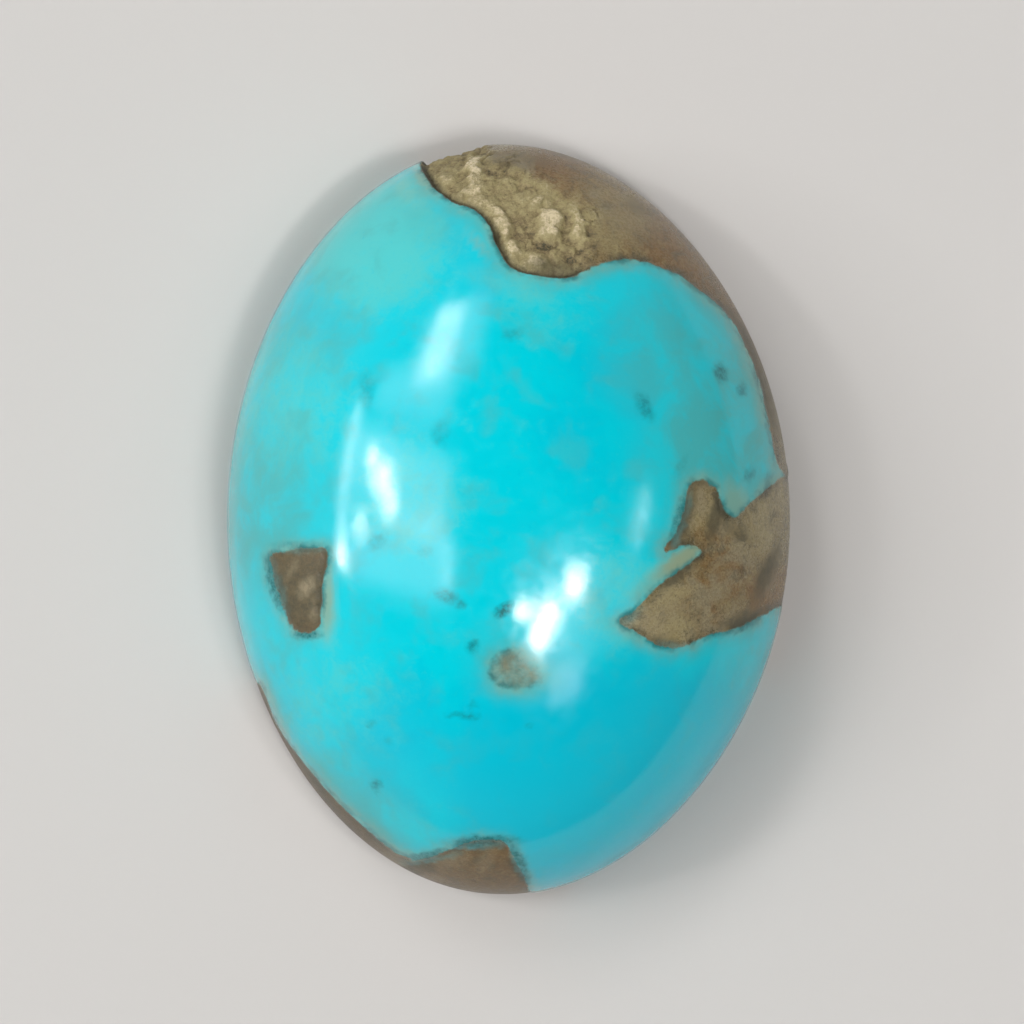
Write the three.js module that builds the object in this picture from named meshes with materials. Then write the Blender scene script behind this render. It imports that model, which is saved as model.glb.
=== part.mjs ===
// An oval turquoise cabochon: one loose stone, cut and polished to a smooth dome on a flat back.
//
// Millimetres, +Z up. The origin is the middle of the flat back, which the stone rests on.
// +Y runs along the oval's length and +X across its width.
//
// The solid is a turned profile stretched to the oval: flat back, short bevel, upright girdle,
// dome. The oval is a little uneven, as a stone ground by hand is.

import * as THREE from "three";

// Driving dimensions.
const LENGTH = 16;
const WIDTH = 12;
const HEIGHT = 5.6;

// The edge between the back and the dome.
const BEVEL_HEIGHT = 0.4;
const GIRDLE_HEIGHT = 0.3;
const BACK_SHARE = 0.93; // the flat back's breadth as a share of the girdle's

// The dome's section: 2 is a plain ellipse, and more has fuller shoulders.
const DOME_FULLNESS = 2.3;

// How far the outline strays from a true oval, as shares of its radius.
const THREE_SIDED_STRAY = 0.006;
const FOUR_SIDED_STRAY = 0.005;

// How finely the curved faces are divided.
const STEPS_ROUND = 112;
const STEPS_UP_DOME = 26;

const TURQUOISE = 0x12b9c6;

// A point on the dome's section at a turn from 0, at the girdle, to a quarter circle, at the top.
function domePoint(turn) {
  const domeHeight = HEIGHT - BEVEL_HEIGHT - GIRDLE_HEIGHT;
  const up = Math.sin(turn) ** (2 / DOME_FULLNESS);
  return new THREE.Vector2(Math.cos(turn), BEVEL_HEIGHT + GIRDLE_HEIGHT + domeHeight * up);
}

// Half the stone's section, from the middle of the back to the top of the dome. Radii are shares
// of the girdle's, and heights are in millimetres.
function halfSection() {
  const points = [
    new THREE.Vector2(0, 0),
    new THREE.Vector2(BACK_SHARE, 0),
    new THREE.Vector2(1, BEVEL_HEIGHT),
  ];
  for (let step = 0; step < STEPS_UP_DOME; step++) {
    points.push(domePoint((step / STEPS_UP_DOME) * (Math.PI / 2)));
  }
  points.push(new THREE.Vector2(0, HEIGHT));
  return points;
}

// The outline's radius at an angle from +X, as a share of a true oval's.
function stray(angle) {
  return 1 + THREE_SIDED_STRAY * Math.cos(3 * angle) + FOUR_SIDED_STRAY * Math.cos(4 * angle);
}

// Moves each point of the turned solid out or in, so that the outline strays from a circle.
function strayFromRound(geometry) {
  const position = geometry.getAttribute("position");
  for (let i = 0; i < position.count; i++) {
    const x = position.getX(i);
    const y = position.getY(i);
    const share = stray(Math.atan2(y, x));
    position.setXY(i, x * share, y * share);
  }
}

// Stretches the solid to the stone's length and width, with the origin midway along both.
function stretchToSize(geometry) {
  geometry.computeBoundingBox();
  const size = geometry.boundingBox.getSize(new THREE.Vector3());
  const middle = geometry.boundingBox.getCenter(new THREE.Vector3());
  geometry.translate(-middle.x, -middle.y, 0);
  geometry.scale(WIDTH / size.x, LENGTH / size.y, 1);
}

function makeCabochon() {
  const geometry = new THREE.LatheGeometry(halfSection(), STEPS_ROUND);
  geometry.rotateX(Math.PI / 2); // a lathe turns about +Y, and the stone stands up along +Z
  strayFromRound(geometry);
  stretchToSize(geometry);
  geometry.computeVertexNormals();
  const material = new THREE.MeshStandardMaterial({
    color: TURQUOISE,
    roughness: 0.15,
    metalness: 0,
  });
  const mesh = new THREE.Mesh(geometry, material);
  mesh.name = "turquoise_cabochon";
  return mesh;
}

const stone = new THREE.Group();
stone.add(makeCabochon());

export default stone;
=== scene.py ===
"""An oval turquoise cabochon: a stone polished to a dome on a flat back, with brown host rock in it.

The stone is modelled as a lapidary works: a blank is ground to the oval and the dome, the host
rock that shows in it wears back a little lower than the turquoise, and the whole is polished.
"""

import functools
import math
from collections import namedtuple

import bmesh
import bpy
import numpy as np
from bpy.props import FloatProperty, FloatVectorProperty, IntProperty, PointerProperty
from bpy.types import Operator, Panel, PropertyGroup
from mathutils import Matrix, Vector, noise


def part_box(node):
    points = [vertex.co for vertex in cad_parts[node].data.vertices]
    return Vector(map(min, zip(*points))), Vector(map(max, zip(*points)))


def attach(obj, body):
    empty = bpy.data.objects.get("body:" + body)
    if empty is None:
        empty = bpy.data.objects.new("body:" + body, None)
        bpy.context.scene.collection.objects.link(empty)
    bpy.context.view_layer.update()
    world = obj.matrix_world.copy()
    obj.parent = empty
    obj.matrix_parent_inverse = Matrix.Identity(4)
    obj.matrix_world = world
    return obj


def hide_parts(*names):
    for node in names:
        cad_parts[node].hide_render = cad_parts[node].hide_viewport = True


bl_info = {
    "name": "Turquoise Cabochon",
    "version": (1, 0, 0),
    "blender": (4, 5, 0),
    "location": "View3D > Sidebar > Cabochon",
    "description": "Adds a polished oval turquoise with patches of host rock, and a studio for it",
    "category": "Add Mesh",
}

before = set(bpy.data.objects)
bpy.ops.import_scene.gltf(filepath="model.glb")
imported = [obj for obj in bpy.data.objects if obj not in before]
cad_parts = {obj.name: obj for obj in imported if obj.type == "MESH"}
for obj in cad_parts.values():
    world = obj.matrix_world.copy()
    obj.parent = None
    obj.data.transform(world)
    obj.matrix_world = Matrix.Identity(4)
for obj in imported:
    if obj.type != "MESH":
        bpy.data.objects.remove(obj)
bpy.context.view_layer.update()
STONE_LOW, STONE_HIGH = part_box("turquoise_cabochon")

MM = 0.001
HALF_WIDTH = (STONE_HIGH.x - STONE_LOW.x) / 2
HALF_LENGTH = (STONE_HIGH.y - STONE_LOW.y) / 2
HEIGHT = STONE_HIGH.z - STONE_LOW.z
MIDDLE = (STONE_LOW + STONE_HIGH) / 2

# The outlines and places below are drawn as they look from here, which is a little to the left
# of straight above and towards the near end. Points are shares of half the width and half the
# length from the stone's middle, so 1 is the girdle, which lies at about DRAWN_LEVEL, in
# millimetres above the back.
DRAWN_FROM = Vector((-0.03, -0.07, 1.0)).normalized()
DRAWN_LEVEL = 0.55

# low and high: the heights above the back, in millimetres, that the rock lies between. Without
# them it runs right through the stone.
# cover: 1 where a thin skin of turquoise lies over the rock, and 0 where it is bare.
HostRock = namedtuple("HostRock", "outline low high cover", defaults=(-1, 9, 0))
ROCKS = (
    # The cap over the far end.
    HostRock(
        outline=(
            (-0.33, 1.05), (-0.315, 0.94), (-0.28, 0.89), (-0.235, 0.857), (-0.19, 0.836),
            (-0.14, 0.82), (-0.1, 0.797), (-0.068, 0.76), (-0.045, 0.715), (-0.003, 0.673),
            (0.065, 0.648), (0.155, 0.635), (0.23, 0.642), (0.29, 0.665), (0.37, 0.681),
            (0.44, 0.684), (0.505, 0.673), (0.57, 0.654), (0.645, 0.62), (0.71, 0.585),
            (0.77, 0.545), (0.82, 0.488), (0.86, 0.42), (0.893, 0.345), (0.917, 0.26),
            (0.935, 0.18), (0.965, 0.13), (1.05, 0.1), (1.3, 0.12), (1.3, 1.3), (-0.3, 1.35),
        ),
    ),
    # The claw that comes in from the right, with a knob above it past a seam of turquoise.
    HostRock(
        outline=(
            (1.0, 0.118), (0.935, 0.098), (0.885, 0.067), (0.835, 0.034), (0.79, 0.012),
            (0.765, 0.028), (0.75, 0.062), (0.72, 0.09), (0.675, 0.108), (0.632, 0.085),
            (0.607, 0.024), (0.58, -0.035), (0.548, -0.08), (0.6, -0.072), (0.645, -0.068),
            (0.675, -0.084), (0.64, -0.105), (0.585, -0.135), (0.53, -0.17), (0.48, -0.208),
            (0.43, -0.243), (0.385, -0.268), (0.45, -0.302), (0.53, -0.334), (0.606, -0.338),
            (0.707, -0.302), (0.808, -0.283), (0.896, -0.256), (0.985, -0.228), (1.3, -0.22),
            (1.3, 0.13),
        ),
    ),
    # The wedge on the left.
    HostRock(
        outline=(
            (-0.838, -0.096), (-0.79, -0.086), (-0.74, -0.076), (-0.69, -0.076),
            (-0.636, -0.08), (-0.643, -0.14), (-0.65, -0.2), (-0.654, -0.25),
            (-0.664, -0.285), (-0.705, -0.3), (-0.75, -0.29), (-0.79, -0.24),
            (-0.815, -0.19), (-0.83, -0.142),
        ),
        low=2.2,
    ),
    # A spot near the middle, under a skin of turquoise.
    HostRock(
        outline=(
            (0.018, -0.342), (-0.035, -0.36), (-0.064, -0.395), (-0.045, -0.424), (0.01, -0.434),
            (0.065, -0.432), (0.108, -0.418), (0.09, -0.382), (0.06, -0.355),
        ),
        low=4,
        cover=1,
    ),
    # The patch at the near end.
    HostRock(
        outline=(
            (-0.46, -0.925), (-0.4, -0.916), (-0.34, -0.904), (-0.285, -0.894), (-0.235, -0.88),
            (-0.19, -0.864), (-0.14, -0.852), (-0.075, -0.845), (-0.014, -0.852), (0.022, -0.888),
            (0.05, -0.94), (0.074, -0.985), (0.092, -1.03), (0.1, -1.3), (-0.6, -1.3),
        ),
    ),
    # A sliver along the girdle, between the wedge and the near end.
    HostRock(
        outline=(
            (-0.9, -0.43), (-0.825, -0.54), (-0.74, -0.632), (-0.613, -0.742), (-0.487, -0.83),
            (-0.4, -0.883), (-0.34, -0.92), (-0.45, -1.1), (-0.95, -0.9), (-1.1, -0.45),
        ),
    ),
    # A seam in the bottom of the stone, along the right and over the back.
    HostRock(
        outline=(
            (1.3, 0.7), (0.75, 0.62), (0.5, 0.7), (0.28, 0.55), (0.36, 0.3), (0.2, 0.12),
            (0.02, 0.05), (-0.06, -0.12), (0.1, -0.22), (0.3, -0.2), (0.42, -0.36),
            (0.62, -0.44), (0.8, -0.4), (1.3, -0.5),
        ),
        high=0.68,
    ),
    # A thread of it that runs on to the near end.
    HostRock(
        outline=(
            (-0.02, -0.06), (-0.12, -0.2), (-0.17, -0.36), (-0.27, -0.5), (-0.36, -0.6),
            (-0.34, -0.64), (-0.24, -0.55), (-0.13, -0.4), (-0.07, -0.24), (0.04, -0.14),
        ),
        high=0.3,
    ),
    # The rock that the sliver and the near patch grow from.
    HostRock(
        outline=(
            (-1.3, -0.42), (-0.85, -0.47), (-0.72, -0.56), (-0.55, -0.55), (-0.4, -0.66),
            (-0.2, -0.62), (-0.06, -0.74), (0.1, -0.8), (0.2, -0.9), (0.24, -1.3),
            (-1.3, -1.3),
        ),
        high=0.5,
    ),
    # A pocket in the back, on the left.
    HostRock(
        outline=(
            (-0.62, 0.3), (-0.5, 0.34), (-0.42, 0.26), (-0.46, 0.14), (-0.56, 0.1),
            (-0.66, 0.17),
        ),
        high=0.35,
    ),
)

# Where the stone changes: the middle, the radius in millimetres and how strong the change is.
Zone = namedtuple("Zone", "middle radius strength")

# Rock that is coarse and lies open, where it took no polish.
COARSE_ZONES = (
    Zone((-0.2, 0.92), 1.15, 0.9),
    Zone((-0.02, 0.82), 1.25, 1.0),
    Zone((0.13, 0.74), 1.3, 1.0),
    Zone((-0.72, -0.19), 1.3, 0.3),
    Zone((0.68, 0.03), 0.75, 0.34),
    Zone((-0.17, -0.9), 1.3, 0.22),
)
# Turquoise that is greener and greyer.
GREEN_ZONES = (
    Zone((0.9, 0.3), 1.9, 1.0),
    Zone((0.74, 0.2), 2.0, 0.85),
    Zone((0.6, 0.42), 1.8, 0.6),
    Zone((0.9, -0.4), 1.4, 0.25),
    Zone((-0.93, 0.05), 2.2, 0.75),
    Zone((-0.75, 0.5), 1.6, 0.35),
    Zone((-0.6, -0.8), 1.8, 0.5),
    Zone((-0.25, 0.82), 1.0, 0.35),
    Zone((0.0, -0.36), 1.1, 0.3),
)
# Polished rock that is sandier.
SANDY_ZONES = (
    Zone((0.5, -0.25), 1.1, 0.85),
    Zone((0.93, 0.0), 1.0, 0.45),
    Zone((0.36, 0.83), 1.1, 0.6),
    Zone((0.02, -0.39), 0.8, 0.4),
)
# Polished rock that is darker and redder.
EARTHY_ZONES = (
    Zone((0.55, 0.82), 1.6, 0.8),
    Zone((0.8, 0.56), 1.7, 0.85),
    Zone((-0.1, -0.95), 1.5, 1.0),
    Zone((0.95, -0.22), 0.8, 0.7),
    Zone((-0.74, -0.22), 1.3, 1.0),
    Zone((-0.7, -0.68), 3.0, 0.8),
    Zone((0.3, 0.97), 1.4, 0.9),
)
# Turquoise that is paler and milkier.
PALE_ZONES = (
    Zone((-0.48, 0.74), 1.9, 1.0),
    Zone((-0.8, 0.3), 2.0, 0.6),
    Zone((-0.6, -0.5), 1.8, 0.35),
    Zone((0.1, 0.58), 1.3, 0.35),
    Zone((0.62, -0.12), 0.8, 0.6),
    Zone((0.4, -0.21), 1.5, 0.45),
    Zone((-0.33, 0.05), 1.5, 0.5),
)
# Turquoise that is deeper and bluer.
DEEP_ZONES = (
    Zone((0.2, -0.68), 3.2, 1.0),
    Zone((0.5, -0.6), 2.6, 0.8),
    Zone((-0.32, -0.6), 1.9, 0.55),
    Zone((0.3, 0.25), 2.0, 0.35),
)

# Small marks: the middle, half the length and half the breadth in millimetres, the turn from
# across the stone in degrees, and how strong the mark is.
Mark = namedtuple("Mark", "middle length breadth turn strength")

# Dark specks in the turquoise.
SPECKS = (
    Mark((-0.02, -0.238), 0.27, 0.15, 38, 1.0),
    Mark((-0.215, -0.203), 0.30, 0.17, -20, 0.6),
    Mark((-0.165, -0.222), 0.13, 0.11, 0, 0.6),
    Mark((-0.126, -0.332), 0.16, 0.14, 40, 0.65),
    Mark((-0.162, -0.514), 0.38, 0.075, -4, 0.55),
    Mark((-0.13, -0.485), 0.16, 0.06, 75, 0.3),
    Mark((-0.467, -0.70), 0.16, 0.13, 20, 0.6),
    Mark((-0.48, -0.537), 0.15, 0.1, 10, 0.35),
    Mark((-0.42, -0.58), 0.11, 0.08, 0, 0.25),
    Mark((0.076, -0.54), 0.12, 0.08, 0, 0.25),
    Mark((0.475, 0.297), 0.34, 0.18, -63, 0.5),
    Mark((0.745, 0.387), 0.25, 0.16, -75, 0.8),
    Mark((0.82, 0.345), 0.17, 0.12, 90, 0.6),
    Mark((0.013, 0.486), 0.27, 0.14, 5, 0.3),
    Mark((-0.46, -0.058), 0.26, 0.18, 30, 0.35),
    Mark((-0.238, 0.225), 0.3, 0.2, 80, 0.28),
    Mark((-0.495, 0.334), 0.42, 0.18, 90, 0.28),
    Mark((-0.288, -0.082), 0.2, 0.14, 0, 0.22),
    Mark((0.845, 0.12), 0.2, 0.13, 50, 0.5),
    Mark((0.915, 0.112), 0.16, 0.12, 70, 0.45),
    Mark((0.6, 0.14), 0.3, 0.1, 60, 0.2),
    Mark((-0.74, -0.068), 0.62, 0.1, 0, 0.35),
    Mark((-0.824, -0.17), 0.66, 0.15, -74, 0.9),
    Mark((-0.708, -0.304), 0.36, 0.12, 0, 0.9),
    Mark((0.598, 0.01), 0.7, 0.13, 72, 0.6),
    Mark((0.8, -0.287), 0.6, 0.12, 15, 0.55),
    Mark((-0.09, -0.85), 0.78, 0.17, 2, 0.95),
    Mark((0.04, -0.905), 0.5, 0.14, -66, 0.9),
    Mark((-0.28, -0.89), 0.75, 0.13, 11, 0.8),
)

# Chalky turquoise beside the rock.
CHALKY = (
    Mark((0.53, -0.142), 0.95, 0.24, 37, 1.0),
    Mark((-0.632, -0.25), 0.7, 0.22, 88, 0.85),
    Mark((-0.35, 0.87), 0.5, 0.3, -40, 0.6),
    Mark((0.8, 0.05), 0.35, 0.2, -60, 0.45),
    Mark((0.87, 0.44), 0.7, 0.3, -68, 0.5),
    Mark((0.07, -0.41), 0.9, 0.5, 10, 0.45),
    Mark((0.0, 0.62), 1.1, 0.3, -15, 0.4),
)

# Turquoise stained buff where it thins out over the rock.
STAINED = (
    Mark((0.61, -0.1), 0.85, 0.22, 36, 1.0),
    Mark((0.795, 0.045), 0.6, 0.34, -70, 0.6),
    Mark((-0.634, -0.2), 0.95, 0.16, 88, 0.65),
    Mark((-0.3, 0.9), 0.4, 0.16, -48, 0.6),
    Mark((-0.105, 0.725), 0.45, 0.12, -50, 0.4),
)

# A film of turquoise over the rock.
FILMED = (
    Mark((-0.74, -0.072), 0.85, 0.16, 0, 0.35),
    Mark((-0.815, -0.17), 0.7, 0.16, -74, 0.3),
    Mark((0.01, -0.39), 0.85, 0.55, 0, 0.3),
    Mark((0.4, -0.268), 0.5, 0.22, 40, 0.5),
    Mark((0.56, -0.335), 0.4, 0.14, 0, 0.35),
    Mark((0.605, 0.0), 0.7, 0.13, 72, 0.4),
    Mark((-0.11, -0.856), 0.8, 0.13, 2, 0.75),
    Mark((0.03, -0.905), 0.5, 0.11, -66, 0.6),
    Mark((-0.28, -0.9), 0.75, 0.1, 11, 0.5),
)

# Grains of the coarse rock that stand up, coloured pale like its tops, partly with a painted
# highlight.
PALE_GRAINS = (
    Mark((0.148, 0.786), 0.34, 0.3, 80, 1.3),
    Mark((0.24, 0.785), 0.42, 0.16, 100, 0.8),
    Mark((-0.03, 0.795), 0.5, 0.2, 108, 0.85),
    Mark((-0.12, 0.92), 0.55, 0.2, 100, 0.9),
    Mark((-0.235, 0.9), 0.3, 0.2, 60, 0.4),
    Mark((0.01, 0.725), 0.26, 0.18, -50, 0.6),
    Mark((0.1, 0.69), 0.4, 0.18, 0, 0.3),
    Mark((-0.02, 0.9), 0.3, 0.25, 10, 0.25),
    Mark((0.1, 0.86), 0.7, 0.45, 0, 0.22),
    Mark((-0.1, 0.85), 0.6, 0.4, 100, 0.25),
)

# Dark marks in the rock: partly its own dark stains and cracks, and partly painted shade along its
# edges.
DUSKY = (
    Mark((-0.735, -0.19), 1.5, 1.2, 80, 1.0),
    Mark((-0.73, -0.28), 0.5, 0.2, 84, 1.0),
    Mark((-0.775, -0.175), 0.55, 0.14, -75, 0.9),
    Mark((-0.69, -0.31), 0.4, 0.14, 0, 0.95),
    Mark((0.612, 0.007), 0.8, 0.26, 72, 0.9),
    Mark((0.725, 0.005), 0.55, 0.2, 74, 0.95),
    Mark((0.675, 0.1), 0.3, 0.16, 0, 0.6),
    Mark((0.53, -0.322), 0.5, 0.16, -5, 0.6),
    Mark((0.83, -0.262), 0.7, 0.18, 20, 0.65),
    Mark((0.91, -0.145), 0.7, 0.2, 66, 1.0),
    Mark((0.585, -0.152), 0.55, 0.15, 40, 0.5),
    Mark((0.8, -0.03), 0.5, 0.2, -25, 0.4),
    Mark((0.45, 0.835), 0.32, 0.15, -40, 0.5),
    Mark((0.15, 0.672), 0.6, 0.2, -5, 0.75),
    Mark((0.03, 0.955), 1.0, 0.25, -5, 0.35),
    Mark((0.86, 0.4), 1.7, 0.5, -64, 0.6),
    Mark((0.3, 0.985), 1.6, 0.4, -14, 0.5),
    Mark((-0.12, -0.95), 1.7, 1.0, 0, 0.45),
    Mark((-0.33, -0.93), 0.7, 0.24, 12, 0.8),
    Mark((0.03, -0.93), 0.5, 0.18, -60, 0.7),
    Mark((-0.7, -0.69), 4.2, 0.9, -56, 0.8),
)

# Light spots in the rock.
LIGHT = (
    Mark((-0.709, -0.178), 0.28, 0.17, 60, 1.0),
    Mark((-0.685, -0.245), 0.26, 0.12, 84, 0.5),
    Mark((-0.76, -0.13), 0.3, 0.1, 60, 0.35),
    Mark((0.678, 0.048), 0.4, 0.13, 88, 0.7),
    Mark((0.3, 0.864), 0.17, 0.15, 0, 0.75),
    Mark((0.42, 0.8), 0.9, 0.5, -30, 0.5),
    Mark((0.02, -0.39), 0.7, 0.5, 0, 0.6),
    Mark((0.93, -0.17), 0.35, 0.18, 70, 0.4),
    Mark((0.7, -0.2), 0.6, 0.3, 30, 0.5),
    Mark((0.54, -0.255), 0.9, 0.45, 30, 0.6),
    Mark((-0.2, -0.905), 0.42, 0.18, 10, 0.4),
    Mark((-0.083, -0.905), 0.32, 0.2, 60, 0.35),
)


# ---------------------------------------------------------------- settings


def length_setting(name, description, default):
    return FloatProperty(name=name, description=description, default=default, unit="LENGTH")


def number_setting(name, description, default, **limits):
    return FloatProperty(name=name, description=description, default=default, **limits)


def count_setting(name, description, default, **limits):
    return IntProperty(name=name, description=description, default=default, **limits)


def colour_setting(name, description, default):
    return FloatVectorProperty(
        name=name, description=description, default=default, subtype="COLOR", size=3, min=0, max=1
    )


class CabochonCut(PropertyGroup):
    """The stone's section and how finely it is cut. Its outside size comes from the frame."""

    fullness: number_setting(
        "Dome fullness", "2 is a plain ellipse, and more has fuller shoulders", 2.3, min=1.5, max=4
    )
    bevel_height: length_setting(
        "Bevel height", "Height of the bevel between the flat back and the girdle", 0.4 * MM
    )
    girdle_height: length_setting(
        "Girdle height", "Height of the upright band round the stone", 0.3 * MM
    )
    back_share: number_setting(
        "Back share", "The flat back's breadth as a share of the girdle's", 0.93, min=0.5, max=1.0
    )
    edge_softness: length_setting(
        "Edge softness", "How far polishing rounds the two edges of the bevel", 0.14 * MM
    )
    three_sided_stray: number_setting(
        "Three-sided stray", "How far the outline strays three ways from an oval, as a share", 0.006
    )
    four_sided_stray: number_setting(
        "Four-sided stray", "How far the outline strays four ways from an oval, as a share", 0.005
    )
    waviness: length_setting(
        "Waviness", "How deep the slow waves are that hand polishing leaves in the dome", 0.018 * MM
    )
    grid_steps: count_setting(
        "Steps across", "Faces across the dome before the rock is cut finer", 128, min=16, max=200
    )
    fine_cuts: count_setting(
        "Cuts in the rock", "Extra cuts along each edge where host rock shows", 2, min=0, max=3
    )


class CabochonRelief(PropertyGroup):
    """How the host rock stands to the polished turquoise."""

    polished_depth: length_setting(
        "Polished rock depth", "How much lower polished rock lies than the turquoise", 0.02 * MM
    )
    coarse_depth: length_setting(
        "Coarse rock depth", "How much lower the hollows between the coarse grains lie", 0.24 * MM
    )
    grain_size: length_setting("Grain size", "How broad the coarse rock's grains are", 0.36 * MM)
    edge_width: length_setting(
        "Edge width", "How broad the slope is from the turquoise down to the rock", 0.06 * MM
    )
    raggedness: length_setting(
        "Raggedness", "How far the rock's outline wanders from its smooth course", 0.07 * MM
    )


class CabochonColours(PropertyGroup):
    """The stone's colours, as light that they give back."""

    bright: colour_setting("Bright turquoise", "The body of the stone", (0.0, 0.61, 0.715))
    deep: colour_setting("Deep turquoise", "Its bluest parts", (0.0, 0.52, 0.67))
    pale: colour_setting("Pale turquoise", "Its milky parts", (0.07, 0.59, 0.595))
    green: colour_setting("Grey-green turquoise", "Its weathered parts", (0.065, 0.415, 0.415))
    chalk: colour_setting("Chalky turquoise", "Its dull skin beside the rock", (0.17, 0.55, 0.49))
    buff: colour_setting("Buff turquoise", "Its skin where rock stains it", (0.27, 0.36, 0.24))
    # The speck colour also paints the shade on the turquoise just outside the rock's edge.
    speck: colour_setting("Speck", "Dark specks in the turquoise", (0.008, 0.16, 0.17))
    brown: colour_setting("Brown rock", "The body of the host rock", (0.215, 0.160, 0.074))
    umber: colour_setting("Umber rock", "The host rock's warmer parts", (0.195, 0.102, 0.028))
    ash: colour_setting("Ash rock", "The host rock's greyer parts", (0.27, 0.225, 0.135))
    # Olive, tan and cream colour the coarse rock by its level, so they also carry painted shade in
    # the hollows and a painted highlight on the tops. Olive is the painted shade along the rock's
    # edge too.
    olive: colour_setting("Olive rock", "The hollows between the grains", (0.070, 0.062, 0.032))
    tan: colour_setting("Tan rock", "The sides of the grains", (0.36, 0.30, 0.14))
    cream: colour_setting("Cream rock", "The tops of the grains", (0.70, 0.59, 0.38))


class CabochonStage(PropertyGroup):
    """The floor, the lights and the camera."""

    floor_colour: colour_setting("Floor", "The floor's colour", (0.62, 0.60, 0.58))
    lamp_height: length_setting(
        "Lamp height", "How far the lamps hang above the stone's middle", 0.30
    )
    lamp_power: number_setting("Lamp power", "How strong all the lamps are together", 1.32)
    room_glow: number_setting("Room glow", "How bright the room looks at the horizon", 0.75)
    camera_distance: length_setting(
        "Camera distance", "From the stone's middle to the camera", 0.24
    )
    lens: number_setting("Lens", "Focal length in millimetres", 400.0)


def setting_names(settings):
    """The names of a group's own settings."""
    return [name for name in settings.bl_rna.properties.keys() if name not in {"rna_type", "name"}]


# ---------------------------------------------------------------- the blank


def square_to_round(u, v):
    """A point of the square from -1 to 1 as a point of the round of radius 1."""
    return u * math.sqrt(1 - v * v / 2), v * math.sqrt(1 - u * u / 2)


def drum(steps, rings):
    """A closed drum of radius 1 and height 1. Its top becomes the dome and its foot the back."""
    mesh = bmesh.new()
    for height in (0, 1):
        disc = bmesh.ops.create_grid(mesh, x_segments=steps, y_segments=steps, size=1.0)["verts"]
        bmesh.ops.translate(mesh, verts=disc, vec=(0, 0, height))
    for vert in mesh.verts:
        vert.co.x, vert.co.y = square_to_round(vert.co.x, vert.co.y)
    # The rims are bridged, because an extruded side is made in another order on every run.
    rims = [edge for edge in mesh.edges if edge.is_boundary]
    bmesh.ops.bridge_loops(mesh, edges=rims)
    upright = [e for e in mesh.edges if abs(e.verts[0].co.z - e.verts[1].co.z) > 0.5]
    bmesh.ops.subdivide_edges(mesh, edges=upright, cuts=rings - 1, use_grid_fill=True)
    bmesh.ops.recalc_face_normals(mesh, faces=mesh.faces[:])
    return mesh


def soft_corner(before, corner, after, reach, steps):
    """Points along a rounded corner of a section."""
    start = corner + (before - corner).normalized() * reach
    end = corner + (after - corner).normalized() * reach
    shares = [step / steps for step in range(steps + 1)]
    return [start.lerp(corner, t).lerp(corner.lerp(end, t), t) for t in shares]


def lower_section(cut):
    """The section from the foot of the dome, down the girdle and the bevel, to the flat back."""
    spread = (HALF_WIDTH + HALF_LENGTH) / 2
    girdle_top = Vector((spread, cut.bevel_height + cut.girdle_height))
    girdle_foot = Vector((spread, cut.bevel_height))
    back_edge = Vector((spread * cut.back_share, 0.0))
    back_middle = Vector((0.0, 0.0))
    points = [girdle_top]
    points += soft_corner(girdle_top, girdle_foot, back_edge, cut.edge_softness, 4)
    points += soft_corner(girdle_foot, back_edge, back_middle, cut.edge_softness, 4)
    return [Vector((point.x / spread, point.y)) for point in points]


def along(points, share):
    """The point that is this share of the way through a list of points."""
    place = share * (len(points) - 1)
    index = min(int(place), len(points) - 2)
    return points[index].lerp(points[index + 1], place - index)


def stray(cut, angle):
    """The outline's radius at an angle from +X, as a share of a true oval's."""
    three = cut.three_sided_stray * math.cos(3 * angle)
    four = cut.four_sided_stray * math.cos(4 * angle)
    return 1 + three + four


# A point of the drum this close to its top or its foot lies on it.
FLUSH = 0.0001


def ground_place(cut, section, place):
    """Where a point of the drum comes to lie on the stone, before it is fitted to size."""
    spread = math.hypot(place.x, place.y)
    angle = math.atan2(place.y, place.x)
    girdle_top = section[0].y
    if place.z > 1 - FLUSH:
        turn = min(spread, 1.0) * math.pi / 2
        share = math.sin(turn)
        rise = max(math.cos(turn), 0.0) ** (2 / cut.fullness)
        height = girdle_top + (HEIGHT - girdle_top) * rise
    elif place.z > FLUSH:
        share, height = along(section, 1 - place.z)
    else:
        share, height = spread * section[-1].x, 0.0
    share *= stray(cut, angle)
    return Vector((share * math.cos(angle), share * math.sin(angle), height))


def fit_to_frame(places):
    """Stretches the ground stone to the frame's length and width, midway along both."""
    low, high = places.min(axis=0), places.max(axis=0)
    fitted = places.copy()
    for axis, half in enumerate((HALF_WIDTH, HALF_LENGTH)):
        middle = (low[axis] + high[axis]) / 2
        fitted[:, axis] = (places[:, axis] - middle) * half / ((high[axis] - low[axis]) / 2)
        fitted[:, axis] += MIDDLE[axis]
    fitted[:, 2] += STONE_LOW.z
    return fitted


def ground_places(cut, mesh):
    """Every vertex of the drum as its place on the stone, in metres."""
    section = lower_section(cut)
    return fit_to_frame(np.array([ground_place(cut, section, v.co) for v in mesh.verts]))


# ---------------------------------------------------------------- host rock


# In millimetres: the height above the back that the dome's looks start from, and how far from
# the rock its edge's unevenness is worked out.
DOME_FOOT = 0.5
NEAR_ROCK = 0.5
# A depth that is nowhere near any rock.
FAR_FROM_ROCK = -10.0
# A zone or a mark is full out to the first share of its size, and gone at the second.
ZONE_EDGE = (0.4, 1.2)
MARK_EDGE = (0.3, 1.3)


def smoothstep(low, high, values):
    """Values as shares of the way from low to high, eased at both ends."""
    share = np.clip((values - low) / (high - low), 0, 1)
    return share * share * (3 - 2 * share)


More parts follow.
